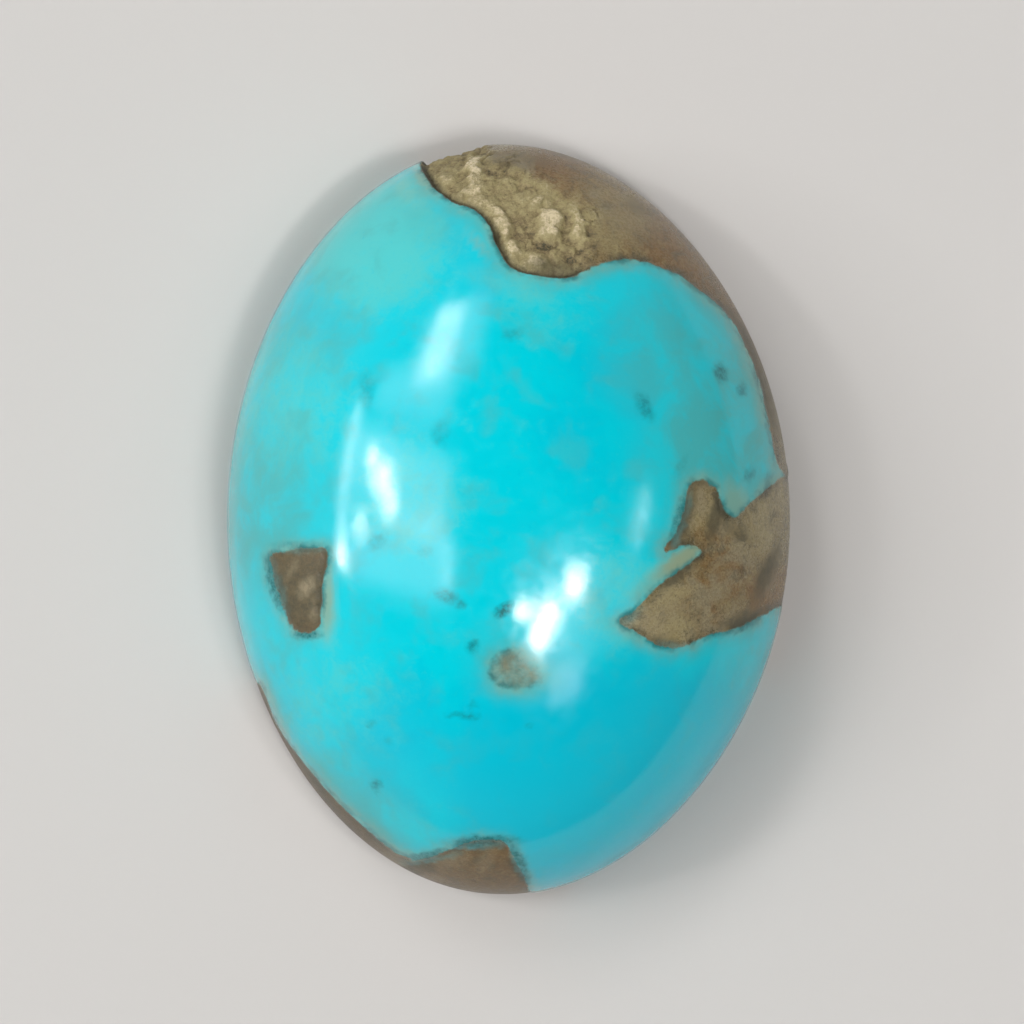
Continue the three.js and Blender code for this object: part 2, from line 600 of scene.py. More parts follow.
def closed_curve(points, steps=7):
    """A smooth closed line through the points, in millimetres from the stone's middle."""
    knots = np.array(points) * (HALF_WIDTH / MM, HALF_LENGTH / MM)
    before, after = np.roll(knots, 1, axis=0), np.roll(knots, -1, axis=0)
    beyond = np.roll(knots, -2, axis=0)
    spans = []
    for t in np.arange(steps) / steps:
        spans.append(
            0.5
            * (
                2 * knots
                + (after - before) * t
                + (2 * before - 5 * knots + 4 * after - beyond) * t**2
                + (3 * knots - before - 3 * after + beyond) * t**3
            )
        )
    return np.stack(spans, axis=1).reshape(-1, 2)


def depth_in_outline(flat, outline):
    """How far each flat point lies inside a closed line, and below zero outside it."""
    ends = np.roll(outline, -1, axis=0)
    nearest = np.full(len(flat), np.inf)
    inside = np.zeros(len(flat), bool)
    for start, end in zip(outline, ends):
        side = end - start
        to_point = flat - start
        share = np.clip(to_point @ side / max(side @ side, 1e-12), 0, 1)
        nearest = np.minimum(nearest, np.linalg.norm(to_point - share[:, None] * side, axis=1))
        crosses = (start[1] > flat[:, 1]) != (end[1] > flat[:, 1])
        if side[1]:
            meets_at = start[0] + (flat[:, 1] - start[1]) / side[1] * side[0]
            inside ^= crosses & (flat[:, 0] < meets_at)
    return np.where(inside, nearest, -nearest)


def random_shift(seed):
    """A place far enough off for its noise to look like nothing else's."""
    return Vector((seed * 17.3, seed * -9.1, seed * 5.7))


def fractal(points, size, octaves, seed):
    """Smooth random values of about -1 to 1 at each point, with waves of this size."""
    shift = random_shift(seed)
    return np.array([noise.fractal(Vector(p) / size + shift, 1.0, 2.0, octaves) for p in points])


def wander(points, reach, size, seed):
    """The points, each moved a random way by up to about this reach."""
    moves = [fractal(points, size, 2, seed + axis) for axis in range(3)]
    return points + reach * np.stack(moves, axis=1)


# How broad the joints between broken grains are, as a share of a grain.
JOINT_WIDTH = 0.22


def broken_grains(points, size, seed):
    """Broken rock: 0 in the joints, and up to 1 on the grains, each with a slant of its own."""
    shift = random_shift(seed)
    middle_lot = Vector((0.5, 0.5, 0.5))
    levels = np.empty(len(points))
    for index, point in enumerate(points):
        place = Vector(point) / size + shift
        gaps, centres = noise.voronoi(place)
        lots = noise.cell_vector(centres[0] * 91.7)
        slant = (place - centres[0]).dot(lots - middle_lot)
        joint = min((gaps[1] - gaps[0]) / JOINT_WIDTH, 1)
        levels[index] = (0.5 + 0.4 * lots.z + slant) * (0.35 + 0.65 * joint)
    return np.clip(levels, 0, 1)


def as_drawn(points):
    """Where points lie in the drawing, in millimetres from its middle."""
    lean = np.array(DRAWN_FROM.xy) / DRAWN_FROM.z
    return points[:, :2] - (points[:, 2:] - DRAWN_LEVEL) * lean


def drawn_place(shares):
    """A listed place, in millimetres from the drawing's middle."""
    return np.array(shares) * (HALF_WIDTH / MM, HALF_LENGTH / MM)


def soft_least(first, second, reach):
    """The lesser of two depths, with the corner between them rounded."""
    return reach - np.hypot(np.maximum(reach - first, 0), np.maximum(reach - second, 0))


def rock_depths(points):
    """How deep in host rock each point lies, and whether turquoise covers that rock. All lengths
    are in millimetres, and the points are from the middle of the back."""
    low_down = smoothstep(1.7, 0.4, points[:, 2:])
    strayed = wander(points, reach=0.5, size=2.4, seed=51)
    flat = as_drawn(points + low_down * (strayed - points))
    heights = points[:, 2] + 0.3 * fractal(points, size=2.2, octaves=3, seed=41)
    depth = np.full(len(points), FAR_FROM_ROCK)
    cover = np.zeros(len(points))
    for rock in ROCKS:
        found = depth_in_outline(flat, closed_curve(rock.outline))
        within = np.minimum(heights - rock.low, rock.high - heights)
        found = soft_least(found, within, reach=0.8)
        cover = np.where(found > depth, rock.cover, cover)
        depth = np.maximum(depth, found)
    return depth, cover


def zone_strength(points, zones):
    """How strongly the zones act at each point, from 0 to 1."""
    flat = as_drawn(points)
    strength = np.zeros(len(points))
    for zone in zones:
        gap = np.linalg.norm(flat - drawn_place(zone.middle), axis=1) / zone.radius
        strength = np.maximum(strength, zone.strength * (1 - smoothstep(*ZONE_EDGE, gap)))
    return strength


def mark_strength(points, marks):
    """How strong the marks are at each point, from 0 to 1."""
    flat = as_drawn(points)
    strength = np.zeros(len(points))
    for mark in marks:
        away = flat - drawn_place(mark.middle)
        turn = math.radians(mark.turn)
        run = away @ (math.cos(turn), math.sin(turn)) / mark.length
        side = away @ (-math.sin(turn), math.cos(turn)) / mark.breadth
        found = mark.strength * (1 - smoothstep(*MARK_EDGE, np.hypot(run, side)))
        strength = np.maximum(strength, found)
    return strength


def from_back_middle(places):
    """Places in metres as points in millimetres from the middle of the back."""
    return (places - np.array((MIDDLE.x, MIDDLE.y, STONE_LOW.z))) / MM


def cut_finer(mesh, verts, cuts):
    """Divides the edges round some of a mesh's vertices, and the faces between them."""
    # Each edge once, in the order they are met, which a set wouldn't keep.
    edges = list(dict.fromkeys(edge for vert in verts for edge in vert.link_edges))
    bmesh.ops.subdivide_edges(mesh, edges=edges, cuts=cuts, use_grid_fill=True)
    bmesh.ops.triangulate(mesh, faces=[face for face in mesh.faces if len(face.verts) > 4])


# The finer faces reach this far past the rock's edge and this far into it, in millimetres, and
# all over rock that is at least this coarse.
FINE_OUTSIDE = 0.16
FINE_INSIDE = 0.2
FINE_COARSE = 0.05


def cut_rock_finer(cut, mesh):
    """Divides the faces of the drum that come to lie along the host rock's edges, in the coarse
    rock and round the specks."""
    points = from_back_middle(ground_places(cut, mesh))
    depth, _ = rock_depths(points)
    coarse = zone_strength(points, COARSE_ZONES)
    beside_rock = (depth > -FINE_OUTSIDE) & ((depth < FINE_INSIDE) | (coarse > FINE_COARSE))
    off_back = points[:, 2] > 0.001
    on_dome = points[:, 2] > DOME_FOOT
    specks = mark_strength(points, SPECKS) > 0
    wanted = (beside_rock & off_back) | (specks & on_dome)
    mesh.verts.ensure_lookup_table()
    cut_finer(mesh, [v for v, want in zip(mesh.verts, wanted) if want], cut.fine_cuts)


def store(mesh, name, values):
    """Keeps one number for each vertex, for the material to read."""
    attribute = mesh.attributes.new(name, "FLOAT", "POINT")
    attribute.data.foreach_set("value", values.astype(np.float32))


# Beside the turquoise the coarse rock is dug out further, by this share of its depth, across
# this many millimetres. Past that it stands up in a crest, by this much of its level.
UNDERCUT_DEPTH = 0.6
UNDERCUT_WIDTH = 0.2
CREST_RISE = 0.12


def rock_level(relief, points, depth):
    """The coarse rock's level at each point, from 0 in the hollows to 1 on the highest grains. It
    is made of broad grains, small ones, slow waves, the listed grains and the crest."""
    size = relief.grain_size / MM
    strayed = wander(points, reach=0.3 * size, size=size, seed=5)
    level = 0.34 * broken_grains(strayed, size, seed=2)
    level += 0.2 * broken_grains(strayed, size / 2.2, seed=3)
    level += 0.16 * fractal(points, 3.0 * size, octaves=5, seed=14)
    strayed_marks = wander(points, reach=0.12, size=0.35, seed=11)
    level += 0.55 * mark_strength(strayed_marks, PALE_GRAINS)
    crest = smoothstep(0.1, 0.25, depth) * smoothstep(0.7, 0.35, depth)
    level += CREST_RISE * crest * (1 + 1.5 * fractal(points, size=0.7, octaves=2, seed=61))
    return np.clip(level + 0.03, 0, 1)


# Relief starts this high above the back, and pits start this far down from the turquoise, as a
# share of the coarse depth, and this far in from the rock's edge. Heights are in millimetres.
SHAPED_FROM = 0.02
PIT_START = 0.06
PIT_EDGE = 0.12


def wear_back(cut, relief, mesh):
    """Moves the vertices in by the polisher's waves and the rock's relief. Returns what the
    material has to know about each vertex."""
    mesh.normal_update()
    mesh.verts.ensure_lookup_table()
    places = np.array([v.co for v in mesh.verts])
    normals = np.array([v.normal for v in mesh.verts])
    points = from_back_middle(places)
    depth, cover = rock_depths(points)
    near = depth > -NEAR_ROCK
    ragged = relief.raggedness / MM * fractal(points[near], size=0.9, octaves=4, seed=1)
    steep = np.where(points[near, 2] > DOME_FOOT, np.clip(normals[near, 2], 0.3, 1), 1)
    depth[near] += ragged * steep

    strayed = points.copy()
    strayed[near] = wander(points[near], reach=0.25, size=0.6, seed=21)
    coarse = zone_strength(strayed, COARSE_ZONES)
    level = np.zeros(len(points))
    level[near] = rock_level(relief, points[near], depth[near])
    shaped = points[:, 2] > SHAPED_FROM
    undercut = UNDERCUT_DEPTH * smoothstep(UNDERCUT_WIDTH, 0.02, depth)
    pit = np.maximum(coarse * (1 + undercut) - level - PIT_START, 0) * shaped
    pit *= smoothstep(0, PIT_EDGE, depth)
    on_rock = smoothstep(0, relief.edge_width / MM, depth) * (cover == 0)
    sink = on_rock * (relief.polished_depth * shaped + relief.coarse_depth * pit)

    domed = smoothstep(DOME_FOOT, 1.5, points[:, 2])
    waves = (1 + fractal(points, size=3.6, octaves=2, seed=8)) / 2
    sink += cut.waviness * waves * domed
    frayed = wander(points, reach=0.06, size=0.15, seed=31)

    for vert, place, normal, depth_here in zip(mesh.verts, places, normals, sink):
        vert.co = place - normal * depth_here
    return {
        "rock_depth": depth,
        "rock_cover": cover,
        "coarse": coarse,
        "sandy": zone_strength(points, SANDY_ZONES),
        "earthy": zone_strength(points, EARTHY_ZONES),
        "pit": pit,
        "level": level,
        "dusky": mark_strength(frayed, DUSKY),
        "light": mark_strength(frayed, LIGHT),
        "speck": mark_strength(frayed, SPECKS) * domed,
        "stained": mark_strength(frayed, STAINED) * domed,
        "filmed": mark_strength(frayed, FILMED) * domed,
        "green": zone_strength(points, GREEN_ZONES),
        "pale": zone_strength(points, PALE_ZONES),
        "deep": zone_strength(points, DEEP_ZONES),
        "chalky": mark_strength(points, CHALKY),
    }


def ground_stone(cut, relief):
    """The finished stone's mesh."""
    rings = len(lower_section(cut)) - 1
    mesh = drum(cut.grid_steps, rings)
    cut_rock_finer(cut, mesh)
    for vert, place in zip(mesh.verts, ground_places(cut, mesh)):
        vert.co = place
    facts = wear_back(cut, relief, mesh)
    made = bpy.data.meshes.new("polished_turquoise")
    mesh.to_mesh(made)
    mesh.free()
    made.shade_smooth()
    for name, values in facts.items():
        store(made, name, values)
    return made


# ---------------------------------------------------------------- materials


class Nodes:
    """Short ways to place and join nodes in one tree."""

    def __init__(self, tree):
        self.tree = tree

    def add(self, kind, inputs=None, **values):
        """A node, with its properties set by name and its inputs by name or number."""
        node = self.tree.nodes.new(kind)
        for name, value in values.items():
            setattr(node, name, value)
        for key, value in (inputs or {}).items():
            self.feed(node.inputs[key], value)
        return node

    def feed(self, socket, value):
        """Joins a socket to an input, or sets the input's own value."""
        if isinstance(value, bpy.types.NodeSocket):
            self.tree.links.new(value, socket)
        else:
            socket.default_value = value

    def noise(self, place, scale, detail=2.0, roughness=0.5, distortion=0.0):
        """Smooth random values, with this many waves to each unit of the place."""
        inputs = {
            "Vector": place,
            "Scale": scale,
            "Detail": detail,
            "Roughness": roughness,
            "Distortion": distortion,
        }
        return self.add("ShaderNodeTexNoise", inputs).outputs["Fac"]

    def wander(self, place, scale, reach):
        """A place moved a random way, by up to about this many millimetres."""
        wave = self.add("ShaderNodeTexNoise", {"Vector": place, "Scale": scale}).outputs["Color"]
        centred = self.vector_maths("SUBTRACT", wave, (0.5,) * 3)["Vector"]
        return self.vector_maths("MULTIPLY_ADD", centred, (2 * reach,) * 3, place)["Vector"]

    def grain_lots(self, place, scale):
        """A random value for each grain of rock, with this many grains to the millimetre."""
        lots = self.add("ShaderNodeTexVoronoi", {"Vector": place, "Scale": scale}).outputs["Color"]
        return self.add("ShaderNodeSeparateColor", {"Color": lots}).outputs["Red"]

    def spread(self, value, low, high, to_low=0.0, to_high=1.0):
        """A value from one range as a value in another, eased at both ends."""
        inputs = {
            "Value": value,
            "From Min": low,
            "From Max": high,
            "To Min": to_low,
            "To Max": to_high,
        }
        node = self.add("ShaderNodeMapRange", inputs, interpolation_type="SMOOTHSTEP")
        return node.outputs["Result"]

    def patches(self, place, wave, *ranges):
        """Random patches. wave is the noise's scale, detail, roughness and distortion, and the
        ranges are those that spread takes."""
        return self.spread(self.noise(place, *wave), *ranges)

    def maths(self, operation, first, second=0.0):
        """A sum of one or two numbers."""
        inputs = {0: first, 1: second}
        return self.add("ShaderNodeMath", inputs, operation=operation).outputs["Value"]

    def vector_maths(self, operation, *values):
        """The outputs of a sum of places or directions."""
        inputs = dict(enumerate(values))
        return self.add("ShaderNodeVectorMath", inputs, operation=operation).outputs

    def times(self, first, second):
        """One number times another."""
        return self.maths("MULTIPLY", first, second)

    def total(self, *terms):
        """Numbers added up. A pair is a number and its weight."""
        weighed = [self.times(*term) if isinstance(term, tuple) else term for term in terms]
        return functools.reduce(lambda first, second: self.maths("ADD", first, second), weighed)

    def mix(self, share, first, second):
        """One colour laid over another."""
        inputs = {"Factor": share, "A": first, "B": second}
        return self.add("ShaderNodeMix", inputs, data_type="RGBA").outputs["Result"]

    def blend(self, share, first, second):
        """One number laid over another."""
        inputs = {"Factor": share, "A": first, "B": second}
        return self.add("ShaderNodeMix", inputs, data_type="FLOAT").outputs["Result"]

    def stored(self, name):
        """A number kept on each vertex."""
        return self.add("ShaderNodeAttribute", attribute_name=name).outputs["Fac"]

    def height(self, place):
        """How high a place lies."""
        return self.add("ShaderNodeSeparateXYZ", {"Vector": place}).outputs["Z"]


def colour(value):
    """A setting's colour, as a shader's socket takes it."""
    return (*value, 1.0)


def stone_group(name, colours, shares):
    """An empty shader group for one kind of stone, and its ends. It takes a place, colours and
    shares, and gives a colour, a roughness and a height."""
    tree = bpy.data.node_groups.new(name, "ShaderNodeTree")
    inputs = {"Place": "Vector"}
    inputs.update(dict.fromkeys(colours, "Color"))
    inputs.update(dict.fromkeys(shares, "Float"))
    outputs = {"Color": "Color", "Roughness": "Float", "Height": "Float"}
    for way, sockets in (("INPUT", inputs), ("OUTPUT", outputs)):
        for socket, kind in sockets.items():
            tree.interface.new_socket(socket, in_out=way, socket_type=f"NodeSocket{kind}")
    nodes = Nodes(tree)
    start = nodes.add("NodeGroupInput").outputs
    end = nodes.add("NodeGroupOutput").inputs
    return tree, nodes, start, end


def place_group(nodes, tree, place, shades):
    """A group of stone_group's. It takes each colour from the shade of that name, and each share
    from the number of that name that is kept on the vertices."""
    group = nodes.add("ShaderNodeGroup", node_tree=tree)
    nodes.feed(group.inputs["Place"], place)
    for socket in group.inputs:
        if socket.type == "RGBA":
            nodes.feed(socket, shades[socket.name.lower()])
        elif socket.type == "VALUE":
            nodes.feed(socket, nodes.stored(socket.name.removesuffix(" Share").lower()))
    return group.outputs


def turquoise_group():
    """Cloudy turquoise: its colour, its gloss and its faint polishing texture."""
    colours = ("Bright", "Deep", "Pale", "Green", "Chalk")
    shares = ("Deep Share", "Pale Share", "Green Share", "Chalky Share")
    tree, nodes, start, end = stone_group("Turquoise Body", colours, shares)
    place = start["Place"]
    drift = nodes.noise(place, 0.3, 3.0, 0.55, 0.3)
    clouds = nodes.noise(place, 0.9, 5.0, 0.62, 0.5)
    wisps = nodes.noise(place, 2.6, 5.0, 0.66, 0.3)
    grain = nodes.noise(place, 9.0, 4.0, 0.75)

    dense = nodes.spread(start["Deep Share"], 0.0, 1.0, 1.0, 0.3)
    deep = nodes.total((start["Deep Share"], 0.5), (clouds, 0.45), (drift, 0.55))
    pale = nodes.total((start["Pale Share"], 0.5), (wisps, 0.65), (clouds, 0.4))
    thin = nodes.patches(place, (1.3, 3.0, 0.5, 0.3), 0.48, 0.72, 0.0, 0.4)
    layers = (
        (nodes.spread(deep, 0.46, 0.92), "Deep"),
        (nodes.times(nodes.spread(pale, 0.56, 1.0), dense), "Pale"),
        (nodes.times(thin, dense), "Green"),
        (nodes.times(start["Green Share"], nodes.spread(clouds, 0.35, 0.62, 0.35, 1.0)), "Green"),
        (nodes.times(start["Chalky Share"], nodes.spread(wisps, 0.25, 0.7, 0.6, 1.0)), "Chalk"),
        (nodes.times(nodes.spread(grain, 0.52, 0.75, 0.0, 0.15), dense), "Pale"),
        (nodes.spread(grain, 0.42, 0.28, 0.0, 0.35), "Deep"),
    )
    body = start["Bright"]
    for share, layer in layers:
        body = nodes.mix(share, body, start[layer])
    nodes.feed(end["Color"], body)
    nodes.feed(end["Roughness"], nodes.spread(wisps, 0.35, 0.65, 0.09, 0.17))
    nodes.feed(end["Height"], nodes.total((wisps, 3.0), grain))
    return tree


def host_rock_group():
    """Brown host rock: polished and fine-grained, or open and coarse with pale grains."""
    colours = ("Brown", "Umber", "Ash", "Olive", "Tan", "Cream")
    shares = ("Sandy", "Earthy", "Dusky", "Light", "Coarse", "Pit", "Level")
    tree, nodes, start, end = stone_group("Host Rock", colours, shares)
    place = start["Place"]
    earthy = nodes.times(start["Earthy"], 0.25)
    warmth = nodes.total(nodes.noise(place, 0.45, 3.0, 0.6, 0.5), earthy)
    greyness = nodes.maths("SUBTRACT", nodes.noise(place, 0.9, 5.0, 0.65, 0.8), earthy)
    mottle = nodes.noise(place, 2.2, 6.0, 0.72, 0.8)
    freckles = nodes.noise(place, 6.0, 5.0, 0.75, 0.6)
    grit = nodes.noise(place, 16.0, 4.0, 0.75)
    sand = nodes.grain_lots(nodes.wander(place, 9.0, 0.04), 24.0)
    smooth_layers = (
        (nodes.spread(warmth, 0.45, 0.62), "Umber"),
        (nodes.spread(greyness, 0.42, 0.6, 0.0, 0.9), "Ash"),
        (nodes.times(start["Sandy"], nodes.spread(mottle, 0.3, 0.6, 0.35, 0.8)), "Tan"),
        (nodes.spread(mottle, 0.51, 0.36, 0.0, 0.6), "Olive"),
        (nodes.spread(mottle, 0.54, 0.68, 0.0, 0.5), "Tan"),
        (nodes.spread(sand, 0.5, 1.0, 0.0, 0.25), "Tan"),
        (nodes.spread(sand, 0.4, 0.0, 0.0, 0.25), "Olive"),
        (nodes.spread(freckles, 0.56, 0.72, 0.0, 0.4), "Tan"),
        (nodes.spread(freckles, 0.42, 0.28, 0.0, 0.8), "Olive"),
        (nodes.spread(grit, 0.62, 0.8, 0.0, 0.3), "Cream"),
    )
    smooth_rock = start["Brown"]
    for share, layer in smooth_layers:
        smooth_rock = nodes.mix(share, smooth_rock, start[layer])

    # The coarse rock is coloured by its level, from olive in the hollows through brown and tan to
    # cream on the tops. Besides the rock's own pale grains and dark joints, this is painted shade in
    # the hollows and a painted highlight on the tops.
    unevenness = (
        nodes.spread(grit, 0.3, 0.7, -0.12, 0.12),
        nodes.spread(sand, 0.0, 1.0, -0.07, 0.07),
        nodes.spread(mottle, 0.3, 0.7, -0.12, 0.08),
    )
    level = nodes.total(start["Level"], *unevenness)
    rough_rock = start["Olive"]
    for low, high, layer in ((0.0, 0.2, "Brown"), (0.15, 0.5, "Tan"), (0.5, 1.0, "Cream")):
        rough_rock = nodes.mix(nodes.spread(level, low, high), rough_rock, start[layer])

    rock = nodes.mix(nodes.spread(start["Coarse"], 0.15, 0.6), smooth_rock, rough_rock)
    # Dark marks: partly the rock's own stains and cracks, partly painted shade along its edges.
    dusky = nodes.times(start["Dusky"], nodes.spread(freckles, 0.3, 0.6, 1.0, 0.75))
    rock = nodes.mix(dusky, rock, start["Olive"])
    light = nodes.times(start["Light"], nodes.spread(freckles, 0.35, 0.6, 0.5, 1.0))
    nodes.feed(end["Color"], nodes.mix(light, rock, start["Ash"]))
    shine = nodes.blend(dusky, nodes.spread(sand, 0.0, 1.0, 0.22, 0.34), 0.5)
    nodes.feed(end["Roughness"], nodes.blend(nodes.spread(start["Pit"], 0.0, 0.2), shine, 0.6))
    depth = nodes.spread(start["Pit"], 0.0, 0.2, 0.2, 1.0)
    nodes.feed(end["Height"], nodes.times(nodes.total(grit, (sand, 0.2)), depth))
    return tree


def stained_and_edge_shaded_body(nodes, place, depth, shades, turquoise):
    """The turquoise's colour, with the rock's stains beside it, painted shade just outside the
    rock's edge and the dark specks in it.
    """
    skin = nodes.patches(place, (1.1, 3.0, 0.6), 0.35, 0.65, 0.25, 0.8)
    stain = nodes.patches(place, (1.7, 3.0, 0.6), 0.35, 0.65, 0.15, 0.5)
    stain = nodes.times(nodes.spread(depth, -0.32, 0.0), stain)
    # Painted shade: the speck colour laid on the turquoise just outside the rock's edge, going on
    # from the rock's own painted edge shade.
    turquoise_edge_shade = nodes.patches(place, (1.9, 3.0, 0.6), 0.38, 0.62, 0.0, 0.8)
    speck_edge = nodes.patches(place, (9.0, 4.0, 0.7), 0.3, 0.7, 0.5, 1.3)
    layers = (
        (nodes.times(nodes.spread(depth, -0.5, 0.05), skin), "green"),
        (nodes.maths("MAXIMUM", stain, nodes.stored("stained")), "buff"),
        (nodes.times(nodes.spread(depth, -0.13, 0.0), turquoise_edge_shade), "speck"),
        (nodes.times(nodes.stored("speck"), speck_edge), "speck"),
    )
    body = turquoise
    for share, layer in layers:
        body = nodes.mix(share, body, shades[layer])
    return body


def shaded_rock(nodes, place, depth, cover, shades, rock):
    """The rock's colour, with painted shade along its edge beside the turquoise, which in places
    also stands for a dark seam.
    """
    # Painted shade: olive laid along the rock's edge, full over the coarse rock, where its undercut
    # lies in shadow.
    shade = nodes.patches(place, (1.3, 3.0, 0.6), 0.4, 0.62, 0.1, 1.0)
    shade = nodes.maths("MAXIMUM", shade, nodes.spread(nodes.stored("coarse"), 0.4, 0.8))
    shade = nodes.times(nodes.spread(depth, 0.24, 0.05), shade)
    return nodes.mix(nodes.blend(cover, shade, 0.0), rock, shades["olive"])


# The roughness of the ground back, the height and strength of the bumps on the rock, and the
# height of the turquoise's as a share of theirs.
BACK_ROUGHNESS = 0.42
BUMP_HEIGHT = 0.05 * MM
BUMP_STRENGTH = 0.7
WISP_HEIGHT = 0.011
REFRACTIVE_INDEX = 1.54


def stone_material(colours):
    """Polished turquoise with host rock in it."""
    material = bpy.data.materials.new("Polished turquoise")
    material.use_nodes = True
    material.node_tree.nodes.clear()
    nodes = Nodes(material.node_tree)
    object_place = nodes.add("ShaderNodeTexCoord").outputs["Object"]
    in_millimetres = {"Vector": object_place, "Scale": (1 / MM,) * 3}
    place = nodes.add("ShaderNodeMapping", in_millimetres).outputs["Vector"]
    shades = {name: colour(getattr(colours, name)) for name in setting_names(colours)}
    turquoise = place_group(nodes, turquoise_group(), place, shades)
    rock = place_group(nodes, host_rock_group(), place, shades)

    fray = nodes.patches(place, (8.0, 4.0, 0.6), 0.25, 0.75, -0.022, 0.022)
    depth = nodes.total(nodes.stored("rock_depth"), fray)
    cover = nodes.stored("rock_cover")
    sharp_rock = nodes.spread(depth, -0.02, 0.035)
    veil = nodes.patches(place, (2.2, 4.0, 0.6, 0.5), 0.3, 0.7, 0.55, 0.9)
    veiled_rock = nodes.times(nodes.spread(depth, -0.12, 0.2), veil)
    bare_rock = nodes.blend(cover, sharp_rock, 0.0)
    film = nodes.patches(place, (3.0, 4.0, 0.6), 0.35, 0.65, 0.6, 1.0)
    clear = nodes.maths("SUBTRACT", 1.0, nodes.times(nodes.stored("filmed"), film))
    rock_shows = nodes.times(nodes.blend(cover, sharp_rock, veiled_rock), clear)
    body_colour = stained_and_edge_shaded_body(nodes, place, depth, shades, turquoise["Color"])
    rock_colour = shaded_rock(nodes, place, depth, cover, shades, rock["Color"])

    polish = nodes.blend(bare_rock, turquoise["Roughness"], rock["Roughness"])
    on_back = nodes.spread(nodes.height(place), 0.03, 0.0)
    wisps = nodes.times(turquoise["Height"], WISP_HEIGHT)
    bump = nodes.add("ShaderNodeBump", {"Height": nodes.blend(bare_rock, wisps, rock["Height"])})
    bump.inputs["Strength"].default_value = BUMP_STRENGTH
    bump.inputs["Distance"].default_value = BUMP_HEIGHT

    shader = nodes.add("ShaderNodeBsdfPrincipled")
    nodes.feed(shader.inputs["Base Color"], nodes.mix(rock_shows, body_colour, rock_colour))
    nodes.feed(shader.inputs["Roughness"], nodes.blend(on_back, polish, BACK_ROUGHNESS))
    nodes.feed(shader.inputs["Normal"], bump.outputs["Normal"])
    shader.inputs["IOR"].default_value = REFRACTIVE_INDEX
    output = nodes.add("ShaderNodeOutputMaterial")
    nodes.feed(output.inputs["Surface"], shader.outputs["BSDF"])
    return material


def floor_material(floor_colour):
    """A plain matt floor with the faintest mottle."""
    material = bpy.data.materials.new("Studio floor")
    material.use_nodes = True
    nodes = Nodes(material.node_tree)
    shader = material.node_tree.nodes["Principled BSDF"]
    place = nodes.add("ShaderNodeTexCoord").outputs["Object"]
    mottle = nodes.noise(place, 40.0, 4.0)
    darker = colour([channel * 0.96 for channel in floor_colour])
    nodes.feed(shader.inputs["Base Color"], nodes.mix(mottle, colour(floor_colour), darker))
    shader.inputs["Roughness"].default_value = 0.85
    shader.inputs["Specular IOR Level"].default_value = 0.2
    return material


# ---------------------------------------------------------------- the stage


# The lamps face down. start and end are the ends of a lamp's middle line, as shares of the
# lamps' height over the stone, and so are its breadth and how far in its edge fades. glow is how
# bright it looks. Each hangs a step lower than the one before it, so that no two that cross lie
# in one plane.
Lamp = namedtuple("Lamp", "name start end breadth fade glow")
LAMPS = (
    Lamp("Right glow", (0.0, -0.36), (0.66, -0.28), 0.72, 0.32, 1.8),
    Lamp("Right haze", (0.44, -0.32), (1.0, -0.3), 0.56, 0.16, 0.55),
    Lamp("Right halo", (0.26, -0.62), (0.6, -0.6), 0.3, 0.1, 2.4),
    Lamp("Window", (-1.66, -0.1), (-0.27, -0.1), 0.36, 0.08, 1.7),
    Lamp("Window corner", (-0.3, -0.03), (-0.37, -0.22), 0.11, 0.05, 2.6),
    Lamp("Window top", (-1.52, 0.42), (-0.29, 0.05), 0.4, 0.1, 1.9),
    Lamp("Window head", (-1.1, 0.68), (-0.28, 0.42), 0.36, 0.14, 1.4),
    Lamp("Window edge", (-1.36, 0.74), (-1.62, -0.27), 0.38, 0.14, 4.2),
    Lamp("Upper pane", (-0.42, 1.07), (-0.52, 0.48), 0.4, 0.14, 6.2),
    Lamp("Upper halo", (-0.18, 1.12), (-0.3, 0.48), 0.34, 0.16, 1.4),
    Lamp("Upper pane end", (-0.44, 0.97), (-0.39, 0.82), 0.18, 0.08, 4.0),
    Lamp("Lower pane end", (-0.49, 0.65), (-0.51, 0.53), 0.18, 0.06, 4.0),
    Lamp("Left tube head", (-1.08, 0.31), (-0.91, 0.28), 0.12, 0.05, 20.0),
    Lamp("Left tube", (-1.0, 0.21), (-0.74, 0.19), 0.16, 0.06, 20.0),
    Lamp("Left tube foot", (-0.87, 0.1), (-0.68, 0.09), 0.14, 0.06, 20.0),
    Lamp("Left dot", (-1.04, 0.03), (-1.24, 0.0), 0.13, 0.05, 20.0),
    Lamp("Far left dot", (-1.44, -0.13), (-1.74, -0.17), 0.18, 0.07, 22.0),
    Lamp("Right tube", (0.398, -0.122), (0.353, -0.25), 0.15, 0.05, 36.0),
    Lamp("Right pane", (0.28, -0.23), (0.165, -0.42), 0.155, 0.055, 35.0),
    Lamp("Right dot", (0.04, -0.26), (0.16, -0.26), 0.075, 0.03, 46.0),
    Lamp("Far right tube", (1.0, 0.18), (0.79, -0.09), 0.2, 0.08, 3.6),
)
LAMP_STEP = 1.0 * MM


